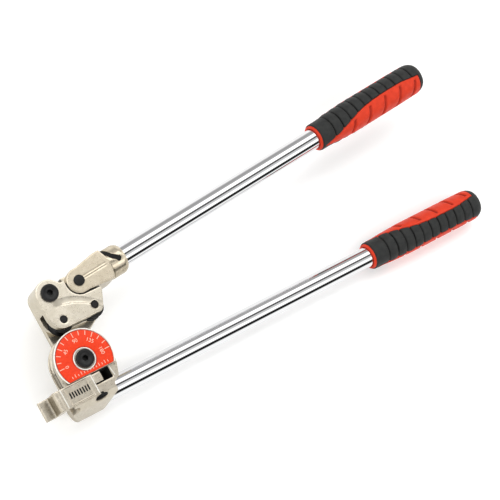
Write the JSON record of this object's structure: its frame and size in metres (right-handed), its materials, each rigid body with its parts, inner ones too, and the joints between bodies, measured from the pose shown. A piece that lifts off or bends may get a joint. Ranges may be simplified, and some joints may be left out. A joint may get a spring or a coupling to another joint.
{
  "type": "manual tube bender",
  "caption": "Lever tube bender: grooved form with degree dial and latch on one long handle, roller shoe on a swinging link and a clevis-mounted second handle.",
  "frame": {"origin": "centre of the pivot post's flat back end, on the bending axis", "axes": "+X along the form handle towards its grip, +Y from the bending axis towards the roller shoe at the 90 degree reading, +Z out of the degree scale"},
  "size_m": [0.4452, 0.1444, 0.0571],
  "materials": {
    "cast_nickel": "satin cast nickel, lightly polished",
    "chrome_tube": "polished chrome",
    "black_steel": "black oxide",
    "black_rubber": "matte black elastomer",
    "red_rubber": "matte red-orange elastomer",
    "dial_red": "printed red dial with white marks",
    "dial_white": "white print on the dial",
    "zinc": "zinc-plated",
    "bronze": "plain bronze bearing"
  },
  "bodies": {
    "form_side": {"form_body": "cast_nickel", "degree_scale": "dial_red", "pivot_post": "black_steel", "pivot_washer": "zinc", "pivot_nut": "zinc", "latch_pin": "black_steel", "form_cross_pin": "zinc", "form_handle_tube": "chrome_tube", "form_grip_core": "red_rubber", "form_grip_cover": "black_rubber", "form_end_plug": "black_rubber"},
    "latch_body": {"latch": "cast_nickel"},
    "link": {"link_plate": "cast_nickel", "link_bushing": "bronze", "shoe_bushing": "bronze"},
    "shoe": {"roller_shoe": "cast_nickel", "shoe_screw": "black_steel", "shoe_nut": "zinc", "near_roller_pin": "black_steel", "far_roller_pin": "black_steel"},
    "near_roller_body": {"near_roller": "black_steel"},
    "far_roller_body": {"far_roller": "black_steel"},
    "shoe_handle": {"clevis": "cast_nickel", "clevis_pin": "black_steel", "clevis_clip": "zinc", "shoe_cross_pin": "zinc", "shoe_handle_tube": "chrome_tube", "shoe_grip_core": "red_rubber", "shoe_grip_cover": "black_rubber", "shoe_end_plug": "black_rubber"}
  },
  "joints": [
    {"name": "link_swing", "type": "hinge", "parent": "form_side", "child": "link", "pos_m": [0, 0, 0.0215], "axis": [0, 0, 1], "range_deg": [-90, 90]},
    {"name": "shoe_pivot", "type": "hinge", "parent": "link", "child": "shoe", "pos_m": [0, 0.0562, 0.0215], "axis": [0, 0, 1], "range_deg": [0, 35]},
    {"name": "clevis_swing", "type": "hinge", "parent": "shoe", "child": "shoe_handle", "pos_m": [0.026, 0.0554, 0.0215], "axis": [0, 0, 1], "range_deg": [0, 85]},
    {"name": "latch_hinge", "type": "hinge", "parent": "form_side", "child": "latch_body", "pos_m": [0.001, -0.017, 0.0267], "axis": [0, 1, 0], "range_deg": [0, 80]},
    {"name": "near_roller_spin", "type": "hinge", "parent": "shoe", "child": "near_roller_body", "pos_m": [0.0003, 0.0337, 0.0217], "axis": [0, 0, 1], "continuous": true},
    {"name": "far_roller_spin", "type": "hinge", "parent": "shoe", "child": "far_roller_body", "pos_m": [0.028, 0.0337, 0.0217], "axis": [0, 0, 1], "continuous": true}
  ]
}
